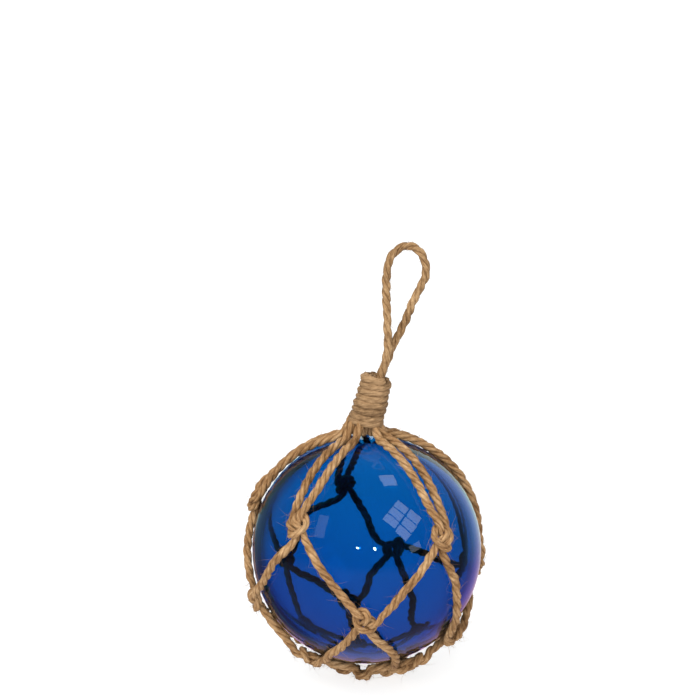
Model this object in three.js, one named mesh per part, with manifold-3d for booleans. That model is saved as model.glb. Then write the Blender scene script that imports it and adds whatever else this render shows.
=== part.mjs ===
// A glass float ball in a knotted twine net, with a whipped neck and a hanging loop.
// Millimetres, +Z up. The origin lies on the ground, under the middle of the ball.
import * as THREE from 'three';
import { mergeVertices } from 'three/addons/utils/BufferGeometryUtils.js';
import Module from 'manifold-3d';

const wasm = await Module();
wasm.setup();

// ---- Driving dimensions ----------------------------------------------------------------------

const GAP = 0.3; // between neighbouring pieces

const BALL_RADIUS = 50;
const BALL_DETAIL = 5;
const GROUND_DROP = 7.2; // from the lowest glass down to the ground

const TWINE = 3.8; // net and hanging loop
const TWINE_SIDES = 6;
const TWINE_STEP = 11.5; // the longest straight step along the glass

// The knots of the net, as [longitude, latitude] on the ball in degrees. Longitude 0 is the
// front (-Y) and 90 is +X. A middle knot ties the twines of the upper knots before and after
// it, and a lower knot those of two middle knots.
const UPPER_ROW = [[-100, 21], [-38, 24], [40, 18], [110, -16], [194, 17]];
const MIDDLE_ROW = [[-79, -22], [1, -18], [71, -43], [168, -17], [229, -17]];
const LOWER_ROW = [[-54, -58], [45, -62], [118, -58], [192, -47], [253, -56]];
// How far the two twines above each middle knot lie beside their straight way.
const SLACK = [[0, 5], [0, 0], [-4, 0], [0, 0], [5, 0]];

const KNOT = {
  height: 4.1, // of its middle above the glass
  bight: 3.6, // radius of the turn that lies flat
  crown: 2.5, // how far the turn over the front stands out of the flat one
  lean: 38, // degrees between the turn over the front and the horizontal
  reach: 4.7, // how far the turn over the front goes to each side
  exit: 2.6, // how far beside and above or below its middle a twine comes in
  sides: [6, 8], // of the flat turn's section, and of the turn
  crossingSides: 5,
};

const RING = { radius: 10.5, twine: 2.2, sides: 5, steps: 15 };
const HITCH = {
  turn: 2.9, // thickness of its turns
  width: 1.15, // how much wider than thick they are pressed
  clearance: 0.4, // between a turn and the ring
  spread: 1.85, // of each turn's middle from the hitch's
  phase: -8,
  sides: [5, 7],
};

const WHIPPING = {
  foot: new THREE.Vector3(-0.9, 0, 55.9), // from the ball's middle
  lean: 13.9, // degrees towards +X
  length: 23.3,
  turns: 7,
  footRadius: 7.9,
  headRadius: 6.9,
  groove: 0.6,
  sides: 13,
};

const GATHER = { // top twines under the whipping
  radius: 7.4,
  bend: 2.5,
  slots: [-107, -38, 58, 123, 188], // longitude of each upper knot's pair
  apart: 32.4, // degrees between the two twines of a pair
  bulges: [0.8, 1.1, 0.3, 0.8, 0.8], // how far those twines part, halfway up
  entry: 0.8, // their distance at the knot, as a share of the lower twines'
};

// The middle of the hanging loop's twine, up one side and down the other, from the ball's
// middle. Its ends stand on the head of the whipping, that far right of and beside its middle.
const LOOP_ROUTE = [
  [8.2, -2.1, 85.5], [8.9, -1.9, 92], [8.6, -1.3, 104], [8.1, -0.5, 115.4], [8.7, 0, 125.2],
  [11, 0, 131], [16.1, 0, 134.4], [21.2, 0, 133.1], [24.2, 0, 128.6], [25.1, 0, 122.8],
  [23, 0.4, 117.1], [19.6, 0.9, 110.2], [16.9, 1.4, 103], [14.1, 1.8, 96.6], [11.1, 2.1, 90.5],
  [9.2, 2.1, 85.5],
];
const LOOP_FOOT = [1.4, 2.1];
const LOOP_STEPS = 30;

// ---- Materials -------------------------------------------------------------------------------

const blueGlass = new THREE.MeshStandardMaterial({
  name: 'blue_glass', color: 0x1440b8, roughness: 0.03, metalness: 0,
  transparent: true, opacity: 0.55,
});

function jute(name, color) {
  return new THREE.MeshStandardMaterial({ name, color, roughness: 0.95, metalness: 0 });
}

// ---- Solids ----------------------------------------------------------------------------------

// A closed geometry as a solid for joining and cutting.
function toSolid(geometry) {
  const bare = geometry.clone();
  bare.deleteAttribute('normal');
  bare.deleteAttribute('uv');
  const merged = mergeVertices(bare, 1e-4);
  const corners = Array.from(merged.index.array);
  const faces = [];
  for (let i = 0; i < corners.length; i += 3) {
    const [a, b, c] = corners.slice(i, i + 3);
    if (a !== b && b !== c && c !== a) faces.push(a, b, c);
  }
  return new wasm.Manifold(new wasm.Mesh({
    numProp: 3,
    vertProperties: new Float32Array(merged.attributes.position.array),
    triVerts: new Uint32Array(faces),
  }));
}

function toGeometry(solid) {
  const mesh = solid.getMesh();
  const geometry = new THREE.BufferGeometry();
  geometry.setAttribute('position', new THREE.BufferAttribute(mesh.vertProperties, 3));
  geometry.setIndex(new THREE.BufferAttribute(mesh.triVerts, 1));
  return geometry;
}

function join(solids) {
  return solids.reduce((whole, next) => whole.add(next));
}

// What is left of a solid once its neighbours are cut away: the largest body.
function trim(solid, cutters) {
  const left = cutters.reduce((rest, cutter) => rest.subtract(cutter), solid).decompose();
  return left.reduce((best, body) => (body.volume() > best.volume() ? body : best));
}

// ---- Places round the ball -------------------------------------------------------------------

const ON_GLASS = BALL_RADIUS + GAP + TWINE / 2; // middle of a twine that lies on the glass
const KNOT_DISTANCE = BALL_RADIUS + KNOT.height; // middle of a knot

// A point at a distance from the ball's middle.
function around([longitude, latitude], distance) {
  const a = THREE.MathUtils.degToRad(longitude);
  const b = THREE.MathUtils.degToRad(latitude);
  return new THREE.Vector3(Math.cos(b) * Math.sin(a), -Math.cos(b) * Math.cos(a), Math.sin(b))
    .multiplyScalar(distance);
}

// A frame on the ball: x runs east along the glass, y runs north and z points outwards.
function frameAt(place, distance) {
  const out = around(place, 1);
  const east = new THREE.Vector3(0, 0, 1).cross(out).normalize();
  const north = out.clone().cross(east);
  return new THREE.Matrix4().makeBasis(east, north, out).setPosition(around(place, distance));
}

// ---- Twine -----------------------------------------------------------------------------------

// A smooth curve whose steps end at the points that it is given.
class Route extends THREE.CatmullRomCurve3 {
  getUtoTmapping(u) {
    return u;
  }
}

function section(diameter, sides) {
  const corners = Array.from({ length: sides }, (_, i) => {
    const turn = i / sides * 2 * Math.PI;
    return new THREE.Vector2(Math.cos(turn), Math.sin(turn)).multiplyScalar(diameter / 2);
  });
  return new THREE.Shape(corners);
}

function twineAlong(points) {
  return toSolid(new THREE.ExtrudeGeometry(section(TWINE, TWINE_SIDES), {
    extrudePath: new Route(points), steps: points.length - 1, bevelEnabled: false,
  }));
}

// A twine pulled tight over the ball between two points: straight off each end until it
// touches the glass, and along the glass between. bulge bends it aside in the middle.
function tautTwine(start, end, bulge = 0) {
  const [from, to] = [start, end].map((point) => point.clone().normalize());
  const [offStart, offEnd] = [start, end]
    .map((point) => Math.acos(Math.min(1, ON_GLASS / point.length())));
  const turn = new THREE.Quaternion().setFromUnitVectors(from, to);
  const whole = from.angleTo(to);
  const sideways = from.clone().cross(to).normalize();
  return {
    length: whole * ON_GLASS,
    at(along) {
      const angle = along / ON_GLASS;
      const off = Math.max(0, offStart - angle, offEnd - (whole - angle));
      return from.clone()
        .applyQuaternion(new THREE.Quaternion().slerp(turn, angle / whole))
        .multiplyScalar(ON_GLASS / Math.cos(off))
        .addScaledVector(sideways, bulge * Math.sin(Math.PI * angle / whole));
    },
  };
}

function pointsAlong(twine) {
  const steps = Math.max(2, Math.ceil(twine.length / TWINE_STEP));
  return Array.from({ length: steps + 1 }, (_, i) => twine.at(twine.length * i / steps));
}

// ---- Knots and the twines between them -------------------------------------------------------

function knotRow(name, places, lean) {
  return places.map((place, i) => {
    const ownLean = i % 2 ? -lean : lean;
    return {
      name: `${name}_knot_${i + 1}`,
      place,
      solid: knotSolid(place, ownLean),
      room: knotRoom(place),
    };
  });
}

// A knot further on in a row, and past the row's end its first knot again.
function knotAt(row, i) {
  return row[i % row.length];
}

// Where a twine leaves a knot: side is -1 on its left and 1 on its right, up is 1 above and
// -1 below.
function corner(knot, side, up) {
  return new THREE.Vector3(side * KNOT.exit, up * KNOT.exit, 0)
    .applyMatrix4(frameAt(knot.place, KNOT_DISTANCE));
}

// A knot of two twines: a turn that lies flat and one that crosses over its front.
function knotSolid(place, lean) {
  const bight = new THREE.TorusGeometry(KNOT.bight, TWINE / 2, ...KNOT.sides);
  const { reach, crown } = KNOT;
  const over = new Route([
    new THREE.Vector3(-reach, 0, 0), new THREE.Vector3(-reach / 2, 0, crown),
    new THREE.Vector3(reach / 2, 0, crown), new THREE.Vector3(reach, 0, 0),
  ]);
  const crossing = new THREE.ExtrudeGeometry(section(TWINE, KNOT.crossingSides), {
    extrudePath: over, steps: over.points.length - 1, bevelEnabled: false,
  }).rotateZ(THREE.MathUtils.degToRad(lean));
  const frame = frameAt(place, KNOT_DISTANCE);
  return join([bight, crossing].map((turn) => toSolid(turn.applyMatrix4(frame))));
}

// The room that a knot takes among the twines, up to a gap beyond its flat turn.
function knotRoom(place) {
  const sides = KNOT.sides[1];
  const radius = (KNOT.bight + TWINE / 2 + GAP) / Math.cos(Math.PI / sides);
  const room = new THREE.CylinderGeometry(radius, radius, 2 * KNOT.height, sides)
    .rotateX(Math.PI / 2)
    .applyMatrix4(frameAt(place, KNOT_DISTANCE));
  return toSolid(room);
}

// The single twines between two rows: each lower knot hangs from two upper ones.
function netTwines(above, below, slack) {
  return below.map((knot, i) => {
    const holders = [[-1, knotAt(above, i)], [1, knotAt(above, i + 1)]];
    const [left, right] = holders.map(([side, upper], which) => {
      const bulge = slack ? slack[i][which] : 0;
      const twine = tautTwine(corner(upper, -side, -1), corner(knot, side, 1), bulge);
      return trim(twineAlong(pointsAlong(twine)), [upper.room, knot.room]);
    });
    return { left, right };
  });
}

const upperKnots = knotRow('upper', UPPER_ROW, KNOT.lean);
const middleKnots = knotRow('middle', MIDDLE_ROW, -KNOT.lean);
const lowerKnots = knotRow('lower', LOWER_ROW, KNOT.lean);

// ---- Whipping, gathered twines and hanging loop ----------------------------------------------

const whippingFrame = new THREE.Matrix4()
  .makeRotationY(THREE.MathUtils.degToRad(WHIPPING.lean))
  .setPosition(WHIPPING.foot);

// A stack of rounded turns, wider at the foot than at the head.
function whippingSolid() {
  const { length, turns, footRadius, headRadius, groove } = WHIPPING;
  const profile = [new THREE.Vector2(0, 0)];
  for (let turn = 0; turn < turns; turn += 1) {
    for (const [part, depth] of [[0, groove], [0.3, 0], [0.7, 0], [1, groove]]) {
      const height = (turn + part) / turns;
      const radius = THREE.MathUtils.lerp(footRadius, headRadius, height) - depth;
      if (part > 0 || turn === 0) profile.push(new THREE.Vector2(radius, height * length));
    }
  }
  profile.push(new THREE.Vector2(0, length));
  const lathe = new THREE.LatheGeometry(profile, WHIPPING.sides).rotateX(Math.PI / 2);
  return toSolid(lathe.applyMatrix4(whippingFrame));
}

// One of the ten twines that run down from under the whipping to the upper knots.
function topTwine(knot, slot, side, bulge) {
  const turn = THREE.MathUtils.degToRad(slot);
  const { radius, bend } = GATHER;
  const underWhipping = (outwards, down) => new THREE.Vector3(
    (radius + outwards * bend) * Math.sin(turn), -(radius + outwards * bend) * Math.cos(turn),
    -GAP - down * bend,
  ).applyMatrix4(whippingFrame).clampLength(ON_GLASS, Infinity);
  const entry = corner(knot, side * GATHER.entry, 1);
  const twine = tautTwine(entry, underWhipping(0.7, 1), -side * bulge);
  const neck = [underWhipping(0.15, 0.5), underWhipping(0, 0)];
  return twineAlong([...pointsAlong(twine), ...neck]);
}

function topTwines() {
  return upperKnots.map((knot, i) => {
    const [left, right] = [-1, 1].map((side) => {
      const slot = GATHER.slots[i] + side * GATHER.apart / 2;
      return trim(topTwine(knot, slot, side, GATHER.bulges[i]), [knot.room]);
    });
    return { left, right };
  });
}

// The loop's twine, from just above the head of the whipping and back to it.
function hangingLoop() {
  const ends = [-1, 1].map((side) => (
    new THREE.Vector3(LOOP_FOOT[0], side * LOOP_FOOT[1], WHIPPING.length + GAP)
      .applyMatrix4(whippingFrame)
  ));
  const route = [ends[0], ...LOOP_ROUTE.map((point) => new THREE.Vector3(...point)), ends[1]];
  return twineAlong(new THREE.CatmullRomCurve3(route).getSpacedPoints(LOOP_STEPS));
}

// ---- Base ring and its hitches ---------------------------------------------------------------

// Outside of a turn round the ring.
const hitchRadius = RING.twine / 2 + HITCH.clearance + HITCH.turn;
const ringDrop = Math.sqrt((BALL_RADIUS + GAP + hitchRadius) ** 2 - RING.radius ** 2);
const ringFrame = new THREE.Matrix4().makeTranslation(0, 0, -ringDrop);

function baseRing() {
  const ring = new THREE.TorusGeometry(RING.radius, RING.twine / 2, RING.sides, RING.steps);
  return toSolid(ring.applyMatrix4(ringFrame));
}

// Everything below the ground, which flattens the hitches that the ball stands on.
function ground() {
  const size = 4 * BALL_RADIUS;
  const block = new THREE.BoxGeometry(size, size, size);
  return toSolid(block.translate(0, 0, -BALL_RADIUS - GROUND_DROP - size / 2));
}

// Two turns round the ring, each with its twine to the lower knot on that side.
function hitch(i) {
  const longitude = HITCH.phase + i * 360 / lowerKnots.length;
  const turnRadius = hitchRadius - HITCH.turn / 2;
  const frame = new THREE.Matrix4()
    .makeRotationZ(THREE.MathUtils.degToRad(longitude))
    .premultiply(ringFrame)
    .multiply(new THREE.Matrix4().makeTranslation(0, -RING.radius, 0));
  const ends = [[-1, knotAt(lowerKnots, i)], [1, knotAt(lowerKnots, i + 1)]];
  const [left, right] = ends.map(([side, knot]) => {
    const turn = new THREE.TorusGeometry(turnRadius, HITCH.turn / 2, ...HITCH.sides)
      .rotateY(Math.PI / 2)
      .scale(HITCH.width, 1, 1)
      .translate(side * HITCH.spread, 0, 0);
    const start = new THREE.Vector3(side * HITCH.spread, -turnRadius, 0).applyMatrix4(frame);
    const twine = tautTwine(start, corner(knot, -side, -1));
    const leg = trim(twineAlong(pointsAlong(twine)), [knot.room]);
    return join([toSolid(turn.applyMatrix4(frame)), leg]).subtract(ground());
  });
  return { left, right };
}

// ---- The whole float -------------------------------------------------------------------------

const float = new THREE.Group();
float.position.z = BALL_RADIUS + GROUND_DROP;

function add(name, solid, material) {
  const mesh = new THREE.Mesh(toGeometry(solid), material);
  mesh.name = name;
  float.add(mesh);
}

add('glass_ball', toSolid(new THREE.IcosahedronGeometry(BALL_RADIUS, BALL_DETAIL)), blueGlass);

const netJute = jute('net_jute', 0xb08a55);
const twines = {
  top_twine: topTwines(),
  upper_twine: netTwines(upperKnots, middleKnots, SLACK),
  lower_twine: netTwines(middleKnots, lowerKnots),
  base_hitch: lowerKnots.map((_, i) => hitch(i)),
};
for (const [name, pairs] of Object.entries(twines)) {
  pairs.forEach(({ left, right }, i) => {
    add(`${name}_${i + 1}_left`, left, netJute);
    add(`${name}_${i + 1}_right`, right, netJute);
  });
}
for (const knot of [...upperKnots, ...middleKnots, ...lowerKnots]) {
  add(knot.name, knot.solid, netJute);
}
add('base_ring', baseRing(), jute('ring_jute', 0x9c7a4c));
add('whipping', whippingSolid(), jute('whipping_jute', 0xb39468));
add('hanging_loop', hangingLoop(), jute('loop_jute', 0xb48d58));

const whole = new THREE.Group();
whole.add(float);

export default whole;
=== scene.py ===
"""The looks of the glass float ball: clear blue glass in a net of three-ply jute twine."""
import math

import bpy
import numpy as np
from mathutils import Matrix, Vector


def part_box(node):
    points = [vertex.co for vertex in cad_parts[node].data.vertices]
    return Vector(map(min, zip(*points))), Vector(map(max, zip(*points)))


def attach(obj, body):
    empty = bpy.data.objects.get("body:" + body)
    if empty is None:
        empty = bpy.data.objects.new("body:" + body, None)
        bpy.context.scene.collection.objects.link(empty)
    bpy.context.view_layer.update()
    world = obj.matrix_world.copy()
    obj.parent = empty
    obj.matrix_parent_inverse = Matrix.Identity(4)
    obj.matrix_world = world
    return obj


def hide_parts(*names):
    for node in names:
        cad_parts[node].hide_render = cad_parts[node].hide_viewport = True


# ---- Driving dimensions, in millimetres from the ball's middle --------------------------------

MM = 0.001
TWINE = 3.8
GAP = 0.3
STEP = 0.8  # between the rings of a twine's mesh
NET_STEP, NET_SMOOTHING = 0.6, 6  # between the points of a net twine, and passes over them
LEG_POINTS = 41  # along a twine pulled tight over the glass
SIDES = (-1, 1)  # left and right

# Longitude 0 is the front (-Y) and 90 is +X. A middle knot ties the twines of the upper knots
# before and after it, and a lower knot those of two middle knots.
UPPER_ROW = [(-100, 21), (-38, 24), (40, 18), (110, -16), (194, 17)]
MIDDLE_ROW = [(-79, -22), (1, -18), (71, -43), (168, -17), (229, -17)]
LOWER_ROW = [(-54, -58), (45, -62), (118, -58), (192, -47), (253, -56)]
ROWS = (UPPER_ROW, MIDDLE_ROW, LOWER_ROW)
KNOTS_IN_ROW = len(UPPER_ROW)
# How far east the left and right twine above each middle knot lie of their straight way.
SLACK = [(0, 5), (0, 0), (-4, 0), (0, 0), (5, 0)]

CORNER = 2.6  # how far beside and above or below a knot's middle its twines lead
KNOT = {
    "height": 4.5,  # of its middle above the glass
    "leg": 17.0,  # length of each twine that is pulled tight with it
    "reach": 9.0,  # from its middle to where its twines have their full thickness
    "thickness": 0.8,  # of the twines in its middle, as a share of their full one
}
LOOSE_KNOT = {  # before it is pulled tight
    "size": 4.2,
    "opening": 0.6,  # radians of its curve that are left out at each end
    "lift": 1.9,  # off the glass, as a share of its size
    "apart": 0.55,  # from its middle line to each twine, as a share of "contact" below
    "points": 60,
    "left_out": 3,  # points of each leg next to it
}
PULL = {  # pulling a knot tight, many small pulls one after another
    "pulls": 1200,
    "points": 92,  # along each of its twines
    "strength": 0.45,  # with which each point goes to the middle of its neighbours
    "strongest": 0.9,
    "press": 0.03,  # towards the glass at each pull
    "centring": 0.3,  # share of the way back over the knot's place at each pull
    "core": 0.2,  # share of each twine, on either side of its middle, that is kept there
    "thin": 1.4,  # the twines are this thick while the slack goes out
    "contact": 2.8,  # and then this thick, pressed together
    "swell": (0.35, 0.45),  # when they thicken and for how long, as shares of the pulls
    "near": 1.6,  # gap between points up to which they are watched
    "neighbours": 1.6,  # thicknesses along a twine in which its own points don't push
    "push": 1.6,  # how strongly points that overlap move apart
    "pushes": 3,  # at each pull
    "spacing_every": 30,  # pulls after which the points are spaced evenly again
    "watching_every": 10,  # pulls after which near points are looked for again
}

UNEVEN = {  # lengths of the waves that unevenness is made of, and its size
    "twist": ((31, 47, 83), 0.5),  # radians
    "wander": ((7, 13, 29), 0.12),  # of a ply, as a share of its way out
    "thickness": ((5, 11, 23), 0.14),  # of a ply, as a share
    "cord_tilt": ((37, 61), 1.5),  # radians, of where the whipping's turns tilt
    "cord_radius": ((23, 41, 67), 0.35),
}
RIDGES = {  # along each ply
    "count": 3,  # round it
    "turn": 0.9,  # radians for each millimetre along it
    "phases": 6,  # radians, the most that they start with
    "size": 0.05,  # as a share of its radius
}
FIBRE = {  # a loose one
    "root": 0.36,  # out from the twine's middle, as a share of its diameter
    "outwards": (0.25, 1),  # parts of its first direction, off the twine
    "onwards": (0.4, 1.6),  # and along it, either way
    "shortest": 0.8,
    "lengths": (0.25, 1),  # shares of the longest, before they are raised to a power
    "power": 2.2,
    "curl": 0.5,  # how much it turns away from its first direction
    "bend": 0.8,  # how much of that it has at its tip
    "points": 6,
    "sides": 3,
    "radius": 0.075,
    "tip": 0.05,  # radius there, as a share
    "clear": 0.1,  # of the glass and the ground
}
SEEDS = {"net": 11, "ring": 5, "whipping": 3, "loop": 9}
STREAKS = 40  # places across the texture of the streaks that plies and fibres take
# Loose fibres for each millimetre of twine, and the longest of them.
NET_FUZZ = (1.6, 6.5)
WHIPPING_FUZZ = (1.0, 3.5)
LOOP_FUZZ = (1.4, 5.0)

WHIPPING = {
    "foot": (-0.9, 0.0, 55.9),
    "lean": 13.9,  # degrees towards +X
    "length": 23.3,
    "turns": 7.8,
    "overhang": 1.8,  # of its lowest turn below the foot
    "foot_radius": 7.9,
    "head_radius": 6.9,
    "cord": 3.5,
    "margin": 0.45,  # from its ends to the cord's middle, as a share of the cord
    "start": 1.9,  # radians from the front
    "tilt": 0.35,
    "waves": (100, 160),  # its length in the units of the waves of its tilt and its radius
    "points": 60,  # along each turn
    "core_radius": 3.6,  # of the gathered twines inside
    "core_ends": (-3.6, -0.6),  # below the foot and below the head
    "core_twist": 0.5,  # radians
    "core_points": 12,
}
GATHER = {  # the top twines, under the whipping
    "radius": 7.0,
    "inside": (-2.6, 5.0),  # how far out from that radius and up they go in the whipping,
    "foot": (-0.6, 1.0),  # at its foot
    "flare": (3.4, -3.0),  # and below it
    "entry": 0.8,  # to the side of the knot's middle, as a share of "CORNER"
    "slots": (-107, -38, 58, 123, 188),  # where each upper knot's pair comes out
    "apart": 32.4,  # degrees between the two twines of a pair
    "bulges": (0.8, 1.1, 0.3, 0.8, 0.8),  # how far those two part, halfway down
}
LOOP_ROUTE = [  # points that the hanging loop's twine goes through
    (8.2, -2.1, 85.5), (8.9, -1.9, 92), (8.6, -1.3, 104), (8.1, -0.5, 115.4), (8.7, 0, 125.2),
    (11, 0, 131), (16.1, 0, 134.4), (21.2, 0, 133.1), (24.2, 0, 128.6), (25.1, 0, 122.8),
    (23, 0.4, 117.1), (19.6, 0.9, 110.2), (16.9, 1.4, 103), (14.1, 1.8, 96.6), (11.1, 2.1, 90.5),
    (9.2, 2.1, 85.5),
]
LOOP_FOOT = (1.4, 2.1)  # of its ends from the whipping's axis, sideways and front or back
LOOP_ENDS = (-3.5, 0.3)  # from inside the whipping to above its head

RING = {"radius": 10.5, "twine": 2.2, "overlap": 1.04, "climb": 0.5, "points": 90}
HITCH = {
    "turn": 3.1,  # thickness of its twine
    "outside": 4.4,  # of its turns, from the ring's middle line
    "phase": -8,  # degrees from the front
    "angles": (20, 290),  # degrees round the ring where a turn starts, and how far it goes
    "spread": 2.3,  # of its two turns along the ring
    "widening": (0.7, 0.8),  # shares of the spread where a turn starts, and what it gains
    "points": 13,
    "bight": (-1.4, 0, 1.4),  # to the side, of the bend that joins its two turns
    "bight_place": (1.9, -0.4),  # out from the turns, and down
    "reach": 6,  # from the ring to where its twine has its full thickness
    "thickness": 0.7,  # of the twine at the ring, as a share of its full one
    "left_out": 4,  # points of each leg next to it
}

GLASS = {
    "wall": 4.0,
    "uneven": 0.18,  # the inside of the wall
    "fineness": 6,  # subdivisions of its mesh
    "tint": (0.12, 0.58, 0.84),  # where light goes in and out
    "body": (0.0, 0.62, 0.82),  # along its way
    "density": 375.0,
    "ior": 1.5,
}
# Dark, middle and light jute.
NET_JUTE = ((0.14, 0.063, 0.022), (0.36, 0.2, 0.085), (0.58, 0.38, 0.2))
WHIPPING_JUTE = ((0.125, 0.068, 0.03), (0.31, 0.187, 0.09), (0.49, 0.31, 0.165))
LOOP_JUTE = ((0.12, 0.058, 0.022), (0.31, 0.18, 0.08), (0.54, 0.35, 0.18))
JUTE_STOPS = (0.36, 0.5, 0.63)  # values of the mixed noise at which it has those colours
STREAK_SHARE, PATCH_SHARE = 0.55, 0.45  # of that noise: streaks of fibre and wider patches
GROOVE_PAINTED_SHADE = [(0.3, (1, 1, 1)), (0.8, (0.5, 0.42, 0.34))]  # painted shade: darker the deeper in the grooves between the plies

# Brightness of the surroundings, by direction. BACKDROP, behind the float, and ROOM, before it,
# go from straight below (0) to straight above (1). FRONT_TO_BACK mixes the two, and
# LEFT_TO_RIGHT dims the backdrop.
BACKDROP = [(0.0, (0.5, 0.42, 0.55)), (0.26, (0.8, 0.48, 0.84)), (0.33, (0.9, 0.7, 0.95)),
            (0.37, (0.95, 1.05, 1.05)), (0.42, (1, 1.4, 1.25)), (0.62, (1.1, 1.3, 1.2)),
            (0.81, (0.16, 0.16, 0.17)), (1.0, (0.05, 0.05, 0.06))]
ROOM = [(0.0, (0.3, 0.26, 0.3)), (0.42, (0.2, 0.17, 0.2)), (0.5, (0.03, 0.03, 0.035))]
FRONT_TO_BACK = [(0.45, (0, 0, 0)), (0.7, (1, 1, 1))]
LEFT_TO_RIGHT = [(0.0, (0.1, 0.1, 0.12)), (0.28, (0.15, 0.15, 0.18)), (0.4, (1, 1, 1)),
                 (0.6, (1, 1, 1)), (0.75, (0.7, 0.54, 0.7)), (0.85, (0.35, 0.3, 0.4)),
                 (0.95, (0.1, 0.1, 0.13))]
# Lights from far away, softness and turns in degrees.
DAYLIGHT = {"strength": 3.0, "softness": 70, "turn": (34, -22, 0)}
FILL = {"strength": 0.7, "softness": 100, "turn": (82, 0, 8)}
BACKLIGHT = {"strength": 1.0, "softness": 60, "turn": (-55, 0, 12)}
FLOOR = {"radius": 40, "grey": 0.3, "roughness": 0.8, "glow": 0.8}  # radius in metres

# The corners of the window that shows in the glass, as (azimuth, elevation) seen from the ball:
# upper left, upper right, lower right and lower left.
WINDOW = ((20.7, 45.9), (57, 57.5), (70, 33), (40.5, 19))
WINDOW_PANES = (3, 2)  # columns and rows
WINDOW_GLOW = 2.4
WINDOW_DISTANCE = 1.4  # metres
BAR = 0.1  # between its panes, as a share of a pane
# The other bright things that show: azimuth, elevation, size in metres, glow and roll.
PATCHES = {
    "low_pane": (50, 13, (0.3, 0.16), 1.4, 12),
    "high_window": (96, 73, (0.3, 0.3), 2.2, 20),
    "side_window": (-54, 31, (0.26, 0.5), 0.8, 12),
    "lamp_left": (-9.3, 18.3, (0.035, 0.035), 310, 0),
    "lamp_right": (8.2, 17.4, (0.045, 0.045), 280, 0),
}

CAMERA = {"distance": 1000, "elevation": 18, "aim": (-7.3, 0, 89.1), "lens": 117.1, "sensor": 36}


# ---- Frame ------------------------------------------------------------------------------------

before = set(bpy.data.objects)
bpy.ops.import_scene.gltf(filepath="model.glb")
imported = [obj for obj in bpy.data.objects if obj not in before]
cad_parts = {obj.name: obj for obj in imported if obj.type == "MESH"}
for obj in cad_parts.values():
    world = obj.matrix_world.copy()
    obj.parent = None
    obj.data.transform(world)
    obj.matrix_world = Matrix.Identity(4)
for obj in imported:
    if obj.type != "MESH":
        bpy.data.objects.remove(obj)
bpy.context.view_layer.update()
LOW, HIGH = (np.array(corner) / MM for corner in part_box("glass_ball"))
MIDDLE = (LOW + HIGH) / 2
BALL_RADIUS = (HIGH[2] - LOW[2]) / 2
GROUND = MIDDLE[2]  # from the ball's middle down to the ground
ON_GLASS = BALL_RADIUS + GAP + TWINE / 2
RING_DROP = math.sqrt((BALL_RADIUS + GAP + HITCH["outside"]) ** 2 - RING["radius"] ** 2)


# ---- Small helpers ----------------------------------------------------------------------------

def unit(vector):
    return np.asarray(vector) / np.linalg.norm(vector)


def to_world(points):
    return (np.asarray(points) + MIDDLE) * MM


def around(place, distance):
    """A point at a distance from the ball's middle."""
    a, b = np.radians(place)
    out = np.array([math.cos(b) * math.sin(a), -math.cos(b) * math.cos(a), math.sin(b)])
    return out * distance


def frame_at(place):
    """East, north and outwards on the ball, as rows."""
    out = around(place, 1)
    east = unit(np.cross((0, 0, 1), out))
    return np.array([east, np.cross(out, east), out])


def corner(place, side, up):
    """Where a twine leads into a knot: side is -1 on its left, up is 1 above its middle."""
    east, north, out = frame_at(place)
    return unit(out * ON_GLASS + CORNER * (side * east + up * north)) * ON_GLASS


def taut(start, end):
    """Points of a twine pulled tight over the glass."""
    whole = math.acos(np.clip(unit(start) @ unit(end), -1, 1))
    parts = np.linspace(0, 1, LEG_POINTS)[:, None]
    arc = np.sin((1 - parts) * whole) * unit(start) + np.sin(parts * whole) * unit(end)
    return arc / math.sin(whole) * ON_GLASS


def bent(points, bulge):
    """A tight twine, bent aside over the glass by the bulge in its middle."""
    parts = np.linspace(0, 1, len(points))[:, None]
    aside = unit(np.cross(points[0], points[-1])) * bulge * np.sin(math.pi * parts)
    moved = points + aside
    reach = np.linalg.norm(points, axis=1) / np.linalg.norm(moved, axis=1)
    return moved * reach[:, None]


def smooth(points, passes):
    """Each pass takes every point but the ends halfway to the middle of its neighbours."""
    points = points.copy()
    for _ in range(passes):
        points[1:-1] += 0.25 * (points[:-2] + points[2:] - 2 * points[1:-1])
    return points


def lengths(points):
    """How far along the line each of its points is."""
    steps = np.linalg.norm(np.diff(points, axis=0), axis=1)
    return np.concatenate([[0], np.cumsum(steps)])


def even_points(points, count):
    run = lengths(points)
    at = np.linspace(0, run[-1], count)
    return np.stack([np.interp(at, run, points[:, k]) for k in range(3)], 1)


def resample(points, step):
    return even_points(points, max(2, round(lengths(points)[-1] / step) + 1))


def curve_through(points, step):
    """A smooth Catmull-Rom curve through points."""
    points = np.asarray(points, float)
    ends = np.vstack([2 * points[0] - points[1], points, 2 * points[-1] - points[-2]])
    t = np.linspace(0, 1, 12, endpoint=False)[:, None]
    pieces = []
    for a, b, c, d in zip(ends, ends[1:], ends[2:], ends[3:]):
        pieces.append(0.5 * (2 * b + (c - a) * t + (2 * a - 5 * b + 4 * c - d) * t ** 2
                             + (3 * b - a - 3 * c + d) * t ** 3))
    return resample(np.vstack(pieces + [points[-1:]]), step)


# ---- Knots ------------------------------------------------------------------------------------

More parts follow.
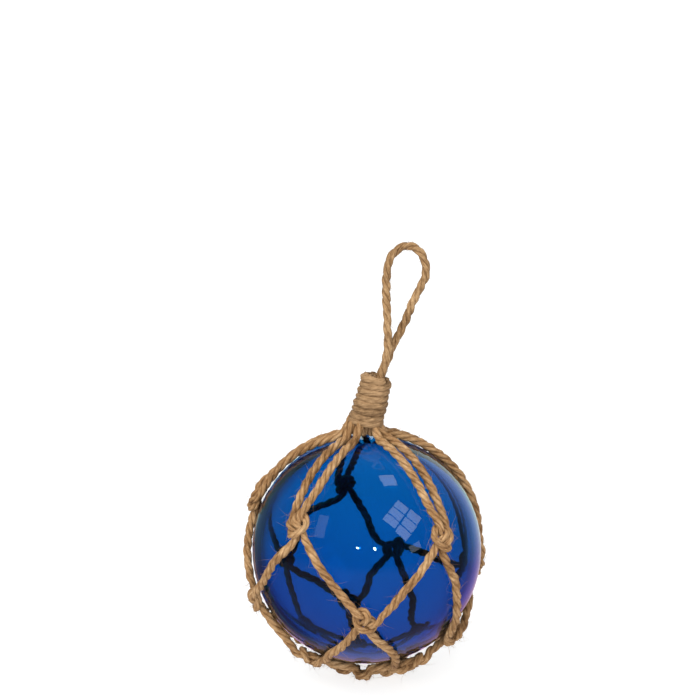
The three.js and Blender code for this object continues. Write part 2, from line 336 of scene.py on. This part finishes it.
def loose_knot(mirror):
    """An overhand knot in two twines side by side, still loose: x east, y north, z outwards."""
    size, opening = LOOSE_KNOT["size"], LOOSE_KNOT["opening"]
    t = np.linspace(math.pi + opening, 3 * math.pi - opening, LOOSE_KNOT["points"])
    # Most of a trefoil.
    x = np.sin(t) + 2 * np.sin(2 * t)
    y = np.cos(t) - 2 * np.cos(2 * t)
    middle = np.stack([-y, x, -np.sin(3 * t)], 1) * size
    along = np.gradient(middle, axis=0)
    along /= np.linalg.norm(along[:, :2], axis=1)[:, None]
    beside = np.stack([-along[:, 1], along[:, 0], 0 * t], 1)
    half = LOOSE_KNOT["apart"] * PULL["contact"]
    twines = []
    for side in SIDES:
        route = middle + side * half * beside
        route[:, 0] *= mirror
        route[:, 2] += LOOSE_KNOT["lift"] * size
        twines.append(route)
    return twines if mirror > 0 else twines[::-1]


def near_pairs(points, strand, spacing, contact):
    """Pairs of points that may touch, leaving out neighbours along the same twine."""
    apart = np.linalg.norm(points[:, None] - points[None], axis=2)
    index = np.arange(len(points))
    off = abs(index[:, None] - index[None])
    same = strand[:, None] == strand[None]
    skip = math.ceil(PULL["neighbours"] * contact / spacing)
    close = (apart < contact + PULL["near"]) & (index[:, None] < index[None])
    return np.nonzero(close & ~(same & (off < skip)))


def push_apart(points, first, second, contact):
    """Moves the points of each pair apart if they are closer than contact."""
    delta = points[second] - points[first]
    apart = np.maximum(np.linalg.norm(delta, axis=1), 1e-6)
    depth = contact - apart
    hit = depth > 0
    first, second = first[hit], second[hit]
    move = delta[hit] / apart[hit, None] * (0.5 * depth[hit])[:, None]
    count = np.bincount(np.concatenate([first, second]), minlength=len(points))
    total = np.zeros_like(points)
    for k in range(3):
        total[:, k] = (np.bincount(second, move[:, k], len(points))
                       - np.bincount(first, move[:, k], len(points)))
    return points + PULL["push"] * total / np.maximum(count, 1)[:, None]


def above_glass(points, least):
    """Points no nearer to the ball's middle than least, and no lower than a twine on the ground."""
    distance = np.linalg.norm(points, axis=1)
    points = points * (np.maximum(distance, least) / distance)[:, None]
    points[:, 2] = np.maximum(points[:, 2], TWINE / 2 - GROUND)
    return points


def tie(place, legs, mirror):
    """Pulls a knot tight on the glass. legs has, for each of its two twines, its points from
    halfway above down to the knot and from it to halfway below. Returns the twines' points."""
    basis = frame_at(place)
    count = PULL["points"]
    loose = loose_knot(mirror)
    points = np.vstack([
        even_points(np.vstack([down, knot @ basis + basis[2] * BALL_RADIUS, away]), count)
        for (down, away), knot in zip(legs, loose)])
    strand = np.repeat([0, 1], count)
    fixed = np.array([0, count - 1, count, 2 * count - 1])
    pinned = points[fixed].copy()
    inner = np.setdiff1d(np.arange(2 * count), fixed)
    along = np.linspace(0, 1, count)
    hold = np.tile(np.sin(math.pi * along) ** 2, 2)[:, None]
    core = np.tile(abs(along - 0.5) < PULL["core"], 2)
    target = basis[2] * (BALL_RADIUS + KNOT["height"])
    swell_start, swell_time = PULL["swell"]
    for pull in range(PULL["pulls"]):
        swell = np.clip((pull / PULL["pulls"] - swell_start) / swell_time, 0, 1)
        contact = PULL["thin"] + (PULL["contact"] - PULL["thin"]) * swell
        if pull % PULL["spacing_every"] == 0:
            points = np.vstack([even_points(points[strand == s], count) for s in (0, 1)])
        if pull % PULL["watching_every"] == 0:
            spacing = [lengths(points[strand == s])[-1] / count for s in (0, 1)]
            first, second = near_pairs(points, strand, min(spacing), contact)
        strength = np.minimum(PULL["strongest"], PULL["strength"] / np.square(spacing))
        strength = strength[strand[inner], None]
        straight = 0.5 * (points[inner - 1] + points[inner + 1])
        points[inner] += strength * (straight - points[inner])
        off = target - points[core].mean(0)
        sideways = off - basis[2] * (off @ basis[2])
        points += (PULL["centring"] * sideways - PULL["press"] * basis[2]) * hold
        for _ in range(PULL["pushes"]):
            points = above_glass(push_apart(points, first, second, contact), ON_GLASS)
            points[fixed] = pinned
    return points[:count], points[count:]


# ---- Meshes -----------------------------------------------------------------------------------

def parallel_frames(points):
    """Directions across a curve that don't twist round it."""
    along = np.gradient(points, axis=0)
    along /= np.linalg.norm(along, axis=1)[:, None]
    across = np.empty_like(points)
    start = np.cross(along[0], (0.3, 0.5, 0.81))
    across[0] = unit(start)
    for i in range(1, len(points)):
        side = across[i - 1] - along[i] * (across[i - 1] @ along[i])
        across[i] = side / np.linalg.norm(side)
    return along, across, np.cross(along, across)


def waves(at, rng, lengths_mm, size):
    """A smooth uneven line along at, as a sum of waves."""
    total = np.zeros_like(at)
    for length in lengths_mm:
        total += np.sin(at / length * 2 * math.pi + rng.uniform(0, 2 * math.pi))
    return size * total / len(lengths_mm)


class Builder:
    """Collects tubes into one mesh, with where each point lies along and round its tube."""

    def __init__(self):
        self.points, self.faces, self.maps, self.depths = [], [], [], []
        self.count = 0

    def tube(self, centres, across, up, radius, sides, turn, label, outside=None):
        """A closed tube. turn is each ring's turn about its middle, and label shifts its
        texture. outside is the angle at which each ring lies outermost in its twine, if it is
        a ply of one: opposite that is its groove."""
        rings = len(centres)
        angle = np.linspace(0, 2 * math.pi, sides, endpoint=False)[None] + turn[:, None]
        offset = np.cos(angle)[..., None] * across[:, None]
        offset = offset + np.sin(angle)[..., None] * up[:, None]
        points = centres[:, None] + offset * np.asarray(radius).reshape(rings, -1, 1)
        i = np.arange(rings - 1)[:, None]
        j = np.arange(sides)[None]
        k = (j + 1) % sides
        base = self.count
        this, following = i * sides, (i + 1) * sides
        quads = np.stack([this + j, this + k, following + k, following + j], -1)
        run = lengths(centres)
        left, right = run[i] + 0 * j, run[i + 1] + 0 * j
        v0, v1 = j / sides + 0 * i, (j + 1) / sides + 0 * i
        corner_maps = np.stack([
            np.stack([left, v0 + label], -1), np.stack([left, v1 + label], -1),
            np.stack([right, v1 + label], -1), np.stack([right, v0 + label], -1)], -2)
        self.points.append(points.reshape(-1, 3))
        self.faces += (quads.reshape(-1, 4) + base).tolist()
        self.maps.append(corner_maps.reshape(-1, 2))
        caps = ((0, range(sides - 1, -1, -1)), (rings - 1, range(sides)))
        for ring, order in caps:
            self.faces.append([base + ring * sides + n for n in order])
            self.maps.append(np.full((sides, 2), (run[ring], label)))
        depth = np.zeros((rings, sides))
        if outside is not None:
            depth = 0.5 - 0.5 * np.cos(angle - outside[:, None])
        self.depths.append(depth.ravel())
        self.count += rings * sides

    def object(self, name, material):
        mesh = bpy.data.meshes.new(name)
        mesh.from_pydata(to_world(np.vstack(self.points)).tolist(), [], self.faces)
        layer = mesh.uv_layers.new(name="along_twine")
        layer.uv.foreach_set("vector", np.vstack(self.maps).astype(np.float32).ravel())
        # How deep in the groove between the plies each point lies. The jute uses it to paint shade
        # there.
        depth = mesh.attributes.new("depth", "FLOAT", "POINT")
        depth.data.foreach_set("value", np.concatenate(self.depths).astype(np.float32))
        mesh.polygons.foreach_set("use_smooth", np.ones(len(mesh.polygons), bool))
        mesh.materials.append(material)
        mesh.update()
        piece = bpy.data.objects.new(name, mesh)
        bpy.context.scene.collection.objects.link(piece)
        return piece


def lay_twine(builder, points, diameter, rng,
              lay=16.0, plies=3, sides=9, slim=(1, 1), spread=0.215):
    """A twine of plies twisted round each other, along points. lay is the length of one twist,
    slim scales its thickness from end to end, and spread is how far out its plies lie, as a
    share of its diameter."""
    points = resample(points, STEP)
    run = lengths(points)
    _, across, up = parallel_frames(points)
    slim = np.interp(np.linspace(0, 1, len(points)), np.linspace(0, 1, len(slim)), slim)
    thick = (0.5 - spread) * diameter
    phase = rng.uniform(0, 2 * math.pi)
    twist = -run / lay * 2 * math.pi + phase + waves(run, rng, *UNEVEN["twist"])
    for ply in range(plies):
        angle = twist + ply * 2 * math.pi / plies
        out = np.cos(angle)[:, None] * across + np.sin(angle)[:, None] * up
        wander = 1 + waves(run, rng, *UNEVEN["wander"])
        centres = points + out * (spread * diameter * slim * wander)[:, None]
        radius = thick * slim * (1 + waves(run, rng, *UNEVEN["thickness"]))
        ridges = RIDGES["count"] * np.linspace(0, 2 * math.pi, sides, endpoint=False)
        ridges = ridges[None] + run[:, None] * RIDGES["turn"] + rng.uniform(0, RIDGES["phases"])
        radius = radius[:, None] * (1 + RIDGES["size"] * np.sin(ridges))
        label = ply + 3 * rng.integers(0, STREAKS)
        builder.tube(centres, across, up, radius, sides, 0.5 * angle, label, outside=angle)
    return points


def fuzz(builder, points, diameter, rng, per_mm, longest):
    """Loose fibres that stand off a twine, each rooted inside it."""
    points = resample(points, STEP)
    along, across, up = parallel_frames(points)
    for _ in range(int(per_mm * lengths(points)[-1])):
        i = rng.integers(0, len(points))
        angle = rng.uniform(0, 2 * math.pi)
        out = math.cos(angle) * across[i] + math.sin(angle) * up[i]
        outwards = out * rng.uniform(*FIBRE["outwards"])
        onwards = along[i] * rng.choice(SIDES) * rng.uniform(*FIBRE["onwards"])
        way = unit(outwards + onwards)
        share = rng.uniform(*FIBRE["lengths"]) ** FIBRE["power"]
        length = longest * share + FIBRE["shortest"]
        curl = rng.normal(0, FIBRE["curl"], 3)
        curl -= way * (curl @ way)
        t = np.linspace(0, 1, FIBRE["points"])[:, None]
        root = points[i] + out * diameter * FIBRE["root"]
        fibre = root + length * (way * t + curl * t ** 2 * FIBRE["bend"])
        distance = np.linalg.norm(fibre, axis=1)
        fibre *= (np.maximum(distance, BALL_RADIUS + FIBRE["clear"]) / distance)[:, None]
        fibre[:, 2] = np.maximum(fibre[:, 2], FIBRE["clear"] - GROUND)
        _, side, rise = parallel_frames(fibre)
        radius = FIBRE["radius"] * (1 + FIBRE["tip"] - t[:, 0])
        label = rng.uniform(0, STREAKS)
        builder.tube(fibre, side, rise, radius, FIBRE["sides"], 0 * t[:, 0], label)


# ---- Materials --------------------------------------------------------------------------------

def new_material(name):
    material = bpy.data.materials.new(name)
    material.use_nodes = True
    tree = material.node_tree
    return material, tree, tree.nodes["Principled BSDF"]


def node(tree, kind, **inputs):
    made = tree.nodes.new(kind)
    for name, value in inputs.items():
        made.inputs[name.replace("_", " ")].default_value = value
    return made


def ramp(tree, source, stops):
    """The colour of a ramp at a value. stops holds positions, each with its colour."""
    made = tree.nodes.new("ShaderNodeValToRGB")
    elements = made.color_ramp.elements
    while len(elements) < len(stops):
        elements.new(0.5)
    for element, (position, colour) in zip(elements, stops):
        element.position = position
        element.color = (*colour, 1)
    tree.links.new(source, made.inputs["Fac"])
    return made.outputs["Color"]


def from_zero(tree, source):
    """Maps -1 to 1 onto 0 to 1."""
    made = node(tree, "ShaderNodeMapRange", From_Min=-1.0)
    tree.links.new(source, made.inputs["Value"])
    return made.outputs["Result"]


def mixed(tree, blend, factor, first, second):
    """Two colours mixed, or multiplied. The factor is a number or another node's output."""
    made = tree.nodes.new("ShaderNodeMix")
    made.data_type = "RGBA"
    made.blend_type = blend
    if isinstance(factor, (int, float)):
        made.inputs["Factor"].default_value = factor
    else:
        tree.links.new(factor, made.inputs["Factor"])
    tree.links.new(first, made.inputs["A"])
    tree.links.new(second, made.inputs["B"])
    return made.outputs["Result"]


def jute(name, colours):
    """Dry jute: streaks of fibre along each ply, patches of colour, and painted shade in the
    grooves between the plies.
    """
    material, tree, shader = new_material(name)
    link = tree.links.new
    place = tree.nodes.new("ShaderNodeUVMap")
    place.uv_map = "along_twine"
    stretch = node(tree, "ShaderNodeMapping", Scale=(0.45, 13.0, 1.0))
    link(place.outputs["UV"], stretch.inputs["Vector"])
    streaks = node(tree, "ShaderNodeTexNoise", Scale=1.0, Detail=5.0, Roughness=0.62)
    link(stretch.outputs["Vector"], streaks.inputs["Vector"])
    where = tree.nodes.new("ShaderNodeTexCoord")
    patches = node(tree, "ShaderNodeTexNoise", Scale=110.0, Detail=3.0, Roughness=0.6)
    link(where.outputs["Object"], patches.inputs["Vector"])
    blend = tree.nodes.new("ShaderNodeMath")
    blend.operation = "MULTIPLY_ADD"
    blend.inputs[1].default_value = STREAK_SHARE
    link(streaks.outputs["Fac"], blend.inputs[0])
    rest = tree.nodes.new("ShaderNodeMath")
    rest.operation = "MULTIPLY"
    rest.inputs[1].default_value = PATCH_SHARE
    link(patches.outputs["Fac"], rest.inputs[0])
    link(rest.outputs[0], blend.inputs[2])
    colour = ramp(tree, blend.outputs[0], list(zip(JUTE_STOPS, colours)))
    depth = tree.nodes.new("ShaderNodeAttribute")
    depth.attribute_name = "depth"
    # Painted shade: the colour is darkened the deeper a point lies in a groove between the plies.
    painted_shade = ramp(tree, depth.outputs["Fac"], GROOVE_PAINTED_SHADE)
    link(mixed(tree, "MULTIPLY", 1, colour, painted_shade), shader.inputs["Base Color"])
    bump = node(tree, "ShaderNodeBump", Strength=0.7, Distance=0.00025)
    link(streaks.outputs["Fac"], bump.inputs["Height"])
    link(bump.outputs["Normal"], shader.inputs["Normal"])
    shader.inputs["Roughness"].default_value = 0.82
    shader.inputs["Specular IOR Level"].default_value = 0.3
    return material


def blue_glass():
    """Clear blue glass: a tint where light goes in and out, and a deeper one along its way."""
    material, tree, shader = new_material("clear_blue_glass")
    shader.inputs["Base Color"].default_value = (*GLASS["tint"], 1)
    shader.inputs["Roughness"].default_value = 0.0
    shader.inputs["IOR"].default_value = GLASS["ior"]
    shader.inputs["Transmission Weight"].default_value = 1.0
    body = node(tree, "ShaderNodeVolumeAbsorption", Density=GLASS["density"])
    body.inputs["Color"].default_value = (*GLASS["body"], 1)
    tree.links.new(body.outputs["Volume"], tree.nodes["Material Output"].inputs["Volume"])
    return material


# ---- The glass --------------------------------------------------------------------------------

def glass_float():
    """A hollow ball: its outside, and the uneven inside of its wall."""
    shells = []
    for radius, uneven in ((BALL_RADIUS, 0), (BALL_RADIUS - GLASS["wall"], GLASS["uneven"])):
        bpy.ops.mesh.primitive_ico_sphere_add(subdivisions=GLASS["fineness"], location=(0, 0, 0))
        shell = bpy.context.active_object
        points = np.array([v.co for v in shell.data.vertices])
        points /= np.linalg.norm(points, axis=1)[:, None]
        x, y, z = points.T
        wave = np.sin(3.1 * x + 1.3 * y + 0.7) + np.sin(2.7 * z - 2.2 * y + 1.9)
        points *= (radius + uneven * wave)[:, None]
        shell.data.vertices.foreach_set("co", to_world(points).ravel())
        shells.append(shell)
    outer, inner = shells
    inner.data.flip_normals()
    bpy.ops.object.select_all(action="DESELECT")
    for shell in shells:
        shell.select_set(True)
    bpy.context.view_layer.objects.active = outer
    bpy.ops.object.join()
    outer.name = outer.data.name = "glass_float"
    outer.data.polygons.foreach_set("use_smooth", np.ones(len(outer.data.polygons), bool))
    outer.data.materials.append(blue_glass())
    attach(outer, "root")
    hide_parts("glass_ball")


# ---- The net ----------------------------------------------------------------------------------

def holders(i):
    """The two knots of the row above that a knot or a hitch hangs from, each with its side."""
    return (-1, i), (1, (i + 1) % KNOTS_IN_ROW)


def plain_twines():
    """The twines between two rows, down from the upper knot. Each has a place, as (row, knot,
    side of the knot), at its upper and at its lower end."""
    twines = []
    for row, (above, below) in enumerate(zip(ROWS, ROWS[1:])):
        for i in range(KNOTS_IN_ROW):
            for side, upper in holders(i):
                slack = SLACK[i][side > 0] if row == 0 else 0
                ends = corner(above[upper], -side, -1), corner(below[i], side, 1)
                twines.append(((row, upper, -side), (row + 1, i, side), bent(taut(*ends), slack)))
    return twines


def whipping_point(radius, turn, height):
    """A point in the whipping's frame: turn in radians from its front, height up its axis."""
    lean = math.radians(WHIPPING["lean"])
    x, y, z = radius * math.sin(turn), -radius * math.cos(turn), height
    return np.array([x * math.cos(lean) + z * math.sin(lean), y,
                     -x * math.sin(lean) + z * math.cos(lean)]) + WHIPPING["foot"]


def neck_leg(knot, side):
    """From inside the whipping down to just above an upper knot, on one side of it."""
    turn = math.radians(GATHER["slots"][knot] + side * GATHER["apart"] / 2)
    radius = GATHER["radius"]
    inside, foot, below = (whipping_point(radius + out, turn, height)
                           for out, height in (GATHER["inside"], GATHER["foot"], GATHER["flare"]))
    below *= max(1, ON_GLASS / np.linalg.norm(below))
    on_glass = taut(below, corner(UPPER_ROW[knot], side * GATHER["entry"], 1))
    on_glass = bent(on_glass, side * GATHER["bulges"][knot])
    return np.vstack([curve_through([inside, foot, on_glass[0]], STEP)[:-1], on_glass])


def hitch_point(i, lateral, out, down):
    """A point by the base ring: lateral along it, out from the float's axis, down below it."""
    turn = math.radians(HITCH["phase"] + i * 360 / KNOTS_IN_ROW)
    reach = RING["radius"] + out
    east = np.array([math.cos(turn), math.sin(turn), 0])
    away = np.array([math.sin(turn), -math.cos(turn), 0])
    return away * reach + east * lateral + np.array([0, 0, -RING_DROP - down])


def hitch_route(i):
    """A cow hitch round the base ring, from its left leg to its right one."""
    reach = RING["twine"] / 2 + HITCH["turn"] / 2
    (start, sweep), (narrow, widening) = HITCH["angles"], HITCH["widening"]
    turns = []
    for side in SIDES:
        turn = []
        for part in np.linspace(0, 1, HITCH["points"]):
            angle = math.radians(start + sweep * part)
            lateral = side * HITCH["spread"] * (narrow + widening * part)
            turn.append(hitch_point(i, lateral, reach * math.cos(angle), reach * math.sin(angle)))
        turns.append(turn)
    out, down = HITCH["bight_place"]
    bight = [hitch_point(i, lateral, reach + out, down) for lateral in HITCH["bight"]]
    route = curve_through(turns[0] + bight + turns[1][::-1], STEP)
    route[:, 2] = np.maximum(route[:, 2], HITCH["turn"] / 2 - GROUND)
    return route


def near_end(points, length):
    """Splits points where that much of their length is left."""
    run = lengths(points)
    cut = max(1, int(np.searchsorted(run, run[-1] - length)))
    return points[:cut], points[cut:]


def tied_twines(place, above, below, mirror):
    """A knot with its legs: the stretch of each leg near it is pulled tight with it."""
    left_out = LOOSE_KNOT["left_out"]
    far_above, near_above, near_below, far_below = [], [], [], []
    for down, away in zip(above, below):
        far, near = near_end(down, KNOT["leg"])
        far_above.append(far)
        near_above.append(near[:-left_out])
        far, near = near_end(away[::-1], KNOT["leg"])
        far_below.append(far[::-1])
        near_below.append(near[::-1][left_out:])
    tight = tie(place, list(zip(near_above, near_below)), mirror)
    return [np.vstack(parts) for parts in zip(far_above, tight, far_below)]


def knot_legs():
    """For each place at a knot, the twine that leads down to it and the one down from it, as
    far as halfway to the next knot. The third result is the place at each twine's upper end."""
    places = [(0, knot, side) for knot in range(KNOTS_IN_ROW) for side in SIDES]
    above = {place: neck_leg(*place[1:]) for place in places}
    below, upper_end = {}, {}
    for upper, lower, points in plain_twines():
        half = len(points) // 2
        below[upper] = points[: half + 1]
        above[lower] = points[half:]
        upper_end[lower] = upper
    for i in range(KNOTS_IN_ROW):
        for side, knot in holders(i):
            start = hitch_route(i)[0 if side < 0 else -1]
            leg = taut(corner(LOWER_ROW[knot], -side, -1), start)
            below[2, knot, -side] = leg[:-HITCH["left_out"]]
    return above, below, upper_end


def tied_knots(above, below):
    """The tied stretch of twine at each place."""
    tied = {}
    for row, places in enumerate(ROWS):
        for knot, place in enumerate(places):
            mirror = 1 if (row + knot) % 2 else -1
            legs = [[leg[row, knot, side] for side in SIDES] for leg in (above, below)]
            left, right = tied_twines(place, *legs, mirror)
            tied[row, knot, -1], tied[row, knot, 1] = left, right
    return tied


def thickness(points):
    """How much of its full thickness a twine has: less in the knots and hitches."""
    knots = [around(place, BALL_RADIUS + KNOT["height"]) for row in ROWS for place in row]
    nearest = np.min([np.linalg.norm(points - knot, axis=1) for knot in knots], axis=0)
    part = np.clip(nearest / KNOT["reach"] - 0.5, 0, 0.5) * 2
    from_ring = np.hypot(np.hypot(points[:, 0], points[:, 1]) - RING["radius"],
                         points[:, 2] + RING_DROP)
    off_ring = np.clip(from_ring / HITCH["reach"], 0, 1)
    in_knot, in_hitch = KNOT["thickness"], HITCH["thickness"]
    return np.minimum(in_knot + (1 - in_knot) * part, in_hitch + (1 - in_hitch) * off_ring)


def net_twines(material):
    """Five twines, each from the neck down to its hitch round the base ring and back up."""
    above, below, upper_end = knot_legs()
    tied = tied_knots(above, below)
    rng = np.random.default_rng(SEEDS["net"])
    for i in range(KNOTS_IN_ROW):
        halves = []
        for side, knot in holders(i):
            # Walk up from the hitch, knot by knot.
            place = (2, knot, -side)
            stretches = [tied[place]]
            while place in upper_end:
                place = upper_end[place]
                stretches.insert(0, tied[place])
            halves.append(np.vstack([stretches[0]] + [part[1:] for part in stretches[1:]]))
        left, right = halves
        whole = np.vstack([left, hitch_route(i), right[::-1]])
        whole = smooth(resample(whole, NET_STEP), NET_SMOOTHING)
        builder = Builder()
        laid = lay_twine(builder, whole, TWINE, rng, slim=thickness(whole))
        fuzz(builder, laid, TWINE, rng, *NET_FUZZ)
        piece = builder.object(f"net_twine_{i + 1}", material)
        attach(piece, "root")
        pairs = ("top_twine", "upper_twine", "lower_twine", "base_hitch")
        nodes = [f"{kind}_{i + 1}_{side}" for kind in pairs for side in ("left", "right")]
        nodes += [f"{row}_knot_{i + 1}" for row in ("upper", "middle", "lower")]
        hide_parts(*nodes)


def ring_twine(material):
    turn = np.linspace(0, 2 * math.pi * RING["overlap"], RING["points"])
    points = np.stack([RING["radius"] * np.sin(turn), -RING["radius"] * np.cos(turn),
                       0 * turn - RING_DROP + RING["climb"] * turn / turn[-1]], 1)
    builder = Builder()
    rng = np.random.default_rng(SEEDS["ring"])
    lay_twine(builder, points, RING["twine"], rng, lay=9, sides=7)
    piece = builder.object("base_ring_twine", material)
    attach(piece, "root")
    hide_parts("base_ring")


# ---- Whipping and loop ------------------------------------------------------------------------

def whipping(material):
    """A cord wound from the foot to the head, and the gathered twines that it is wound round."""
    rng = np.random.default_rng(SEEDS["whipping"])
    length, turns, cord = WHIPPING["length"], WHIPPING["turns"], WHIPPING["cord"]
    part = np.linspace(0, 1, int(turns * WHIPPING["points"]))
    turn = part * turns * 2 * math.pi + WHIPPING["start"]
    tilt_waves, radius_waves = WHIPPING["waves"]
    tilt = WHIPPING["tilt"] * np.sin(turn + waves(part * tilt_waves, rng, *UNEVEN["cord_tilt"]))
    margin = cord * WHIPPING["margin"]
    low, high = margin - WHIPPING["overhang"], length - margin
    height = low + part * (high - low) + tilt
    radius = WHIPPING["foot_radius"] + part * (WHIPPING["head_radius"] - WHIPPING["foot_radius"])
    radius = radius - cord / 2 + waves(part * radius_waves, rng, *UNEVEN["cord_radius"])
    points = np.array([whipping_point(r, t, h) for r, t, h in zip(radius, turn, height)])
    builder = Builder()
    laid = lay_twine(builder, points, cord, rng, lay=26, plies=4, sides=10, spread=0.17)
    fuzz(builder, laid, cord, rng, *WHIPPING_FUZZ)
    below_foot, below_head = WHIPPING["core_ends"]
    for i in range(7):
        # One in the middle and six round it.
        out, turned = (0.0, 0.0) if i == 0 else (WHIPPING["core_radius"], i * math.pi / 3)
        core = [whipping_point(out, turned + WHIPPING["core_twist"] * h / length, h)
                for h in np.linspace(below_foot, length + below_head, WHIPPING["core_points"])]
        core = above_glass(curve_through(core, STEP), BALL_RADIUS + TWINE / 2)
        lay_twine(builder, core, TWINE, rng, sides=7)
    piece = builder.object("whipping_cord", material)
    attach(piece, "root")
    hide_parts("whipping")


def loop(material):
    rng = np.random.default_rng(SEEDS["loop"])
    feet = []
    for side in SIDES:
        turn = math.atan2(LOOP_FOOT[0], -side * LOOP_FOOT[1])
        reach = math.hypot(*LOOP_FOOT)
        feet.append([whipping_point(reach, turn, WHIPPING["length"] + up) for up in LOOP_ENDS])
    route = feet[0] + list(LOOP_ROUTE) + feet[1][::-1]
    builder = Builder()
    laid = lay_twine(builder, curve_through(route, STEP), TWINE, rng)
    fuzz(builder, laid, TWINE, rng, *LOOP_FUZZ)
    piece = builder.object("hanging_loop_twine", material)
    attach(piece, "root")
    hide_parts("hanging_loop")


# ---- Stage, lights and camera -----------------------------------------------------------------

def studio_floor():
    """A white floor that doesn't show in the glass."""
    material, _, shader = new_material("studio_floor")
    shader.inputs["Base Color"].default_value = (*[FLOOR["grey"]] * 3, 1)
    shader.inputs["Roughness"].default_value = FLOOR["roughness"]
    shader.inputs["Emission Color"].default_value = (1, 1, 1, 1)
    shader.inputs["Emission Strength"].default_value = FLOOR["glow"]
    bpy.ops.mesh.primitive_circle_add(
        vertices=96, radius=FLOOR["radius"], fill_type="NGON", location=(0, 0, 0))
    floor = bpy.context.active_object
    floor.name = "studio_floor"
    floor.visible_glossy = False
    floor.visible_transmission = False
    floor.data.materials.append(material)


def surroundings():
    """What shows in and through the glass, by direction: a backdrop behind, a dim room before."""
    world = bpy.data.worlds.new("studio")
    world.use_nodes = True
    tree = world.node_tree
    way = tree.nodes.new("ShaderNodeTexCoord")
    parts = tree.nodes.new("ShaderNodeSeparateXYZ")
    tree.links.new(way.outputs["Generated"], parts.inputs["Vector"])
    heights, depths, widths = (from_zero(tree, parts.outputs[axis]) for axis in "ZYX")
    backdrop, room = ramp(tree, heights, BACKDROP), ramp(tree, heights, ROOM)
    backdrop = mixed(tree, "MULTIPLY", 1, backdrop, ramp(tree, widths, LEFT_TO_RIGHT))
    sky = mixed(tree, "MIX", ramp(tree, depths, FRONT_TO_BACK), room, backdrop)
    tree.links.new(sky, tree.nodes["Background"].inputs["Color"])
    tree.nodes["Background"].inputs["Strength"].default_value = 1.0
    bpy.context.scene.world = world


def sun(name, settings, through_glass):
    """A broad soft light that isn't mirrored in the glass."""
    data = bpy.data.lights.new(name, "SUN")
    data.energy = settings["strength"]
    data.angle = math.radians(settings["softness"])
    lamp = bpy.data.objects.new(name, data)
    lamp.rotation_euler = [math.radians(a) for a in settings["turn"]]
    lamp.visible_glossy = False
    lamp.visible_transmission = through_glass
    bpy.context.scene.collection.objects.link(lamp)


def pane(name, middle, right, up, glow):
    """A bright rectangle that faces the ball: its middle from the ball's, and its edges."""
    out = unit(middle)
    across = unit(right - out * (right @ out))
    data = bpy.data.lights.new(name, "AREA")
    data.shape = "RECTANGLE"
    data.size, data.size_y = np.linalg.norm(right), np.linalg.norm(up)
    data.energy = glow * math.pi * data.size * data.size_y
    lamp = bpy.data.objects.new(name, data)
    lamp.location = MIDDLE * MM + middle
    lamp.rotation_euler = Matrix(np.array([across, np.cross(out, across), out]).T).to_euler()
    lamp.visible_camera = False
    bpy.context.scene.collection.objects.link(lamp)


def patch(name, azimuth, elevation, size, glow, roll):
    """A pane by its direction from the ball. Azimuth 0 is the front, and 90 is +X."""
    middle = around((azimuth, elevation), WINDOW_DISTANCE)
    east, north, _ = frame_at((azimuth, elevation))
    r = math.radians(roll)
    right = (east * math.cos(r) + north * math.sin(r)) * size[0]
    up = (north * math.cos(r) - east * math.sin(r)) * size[1]
    pane(name, middle, right, up, glow)


def window(columns, rows, glow):
    """The large window, pane by pane between its four corners."""
    upper_left, upper_right, lower_right, lower_left = (
        around(place, WINDOW_DISTANCE) for place in WINDOW)
    for row in range(rows):
        for column in range(columns):
            part, down = (column + 0.5) / columns, (row + 0.5) / rows
            left = upper_left + (lower_left - upper_left) * down
            right = upper_right + (lower_right - upper_right) * down
            top = upper_left + (upper_right - upper_left) * part
            bottom = lower_left + (lower_right - lower_left) * part
            edges = (right - left) * (1 - BAR) / columns, (top - bottom) * (1 - BAR) / rows
            pane(f"window_pane_{row}_{column}", left + (right - left) * part, *edges, glow)


def camera():
    e = math.radians(CAMERA["elevation"])
    data = bpy.data.cameras.new("camera")
    data.sensor_width = CAMERA["sensor"]
    data.lens = CAMERA["lens"]
    view = bpy.data.objects.new("camera", data)
    place = np.array([0, -math.cos(e), math.sin(e)]) * CAMERA["distance"]
    aim = np.array(CAMERA["aim"]) - place
    view.location = to_world(place)
    pitch = math.atan2(aim[2], math.hypot(aim[0], aim[1]))
    yaw = math.atan2(-aim[0], aim[1])
    view.rotation_euler = (math.pi / 2 + pitch, 0, yaw)
    bpy.context.scene.collection.objects.link(view)
    bpy.context.scene.camera = view


camera()
studio_floor()
surroundings()
sun("daylight", DAYLIGHT, through_glass=False)
sun("fill", FILL, through_glass=True)
sun("backlight", BACKLIGHT, through_glass=False)
bpy.context.scene.view_settings.view_transform = "Standard"
window(*WINDOW_PANES, WINDOW_GLOW)
for patch_name, patch_settings in PATCHES.items():
    patch(patch_name, *patch_settings)
glass_float()
net_jute = jute("net_jute_fibres", NET_JUTE)
net_twines(net_jute)
ring_twine(net_jute)
whipping(jute("whipping_fibres", WHIPPING_JUTE))
loop(jute("loop_fibres", LOOP_JUTE))
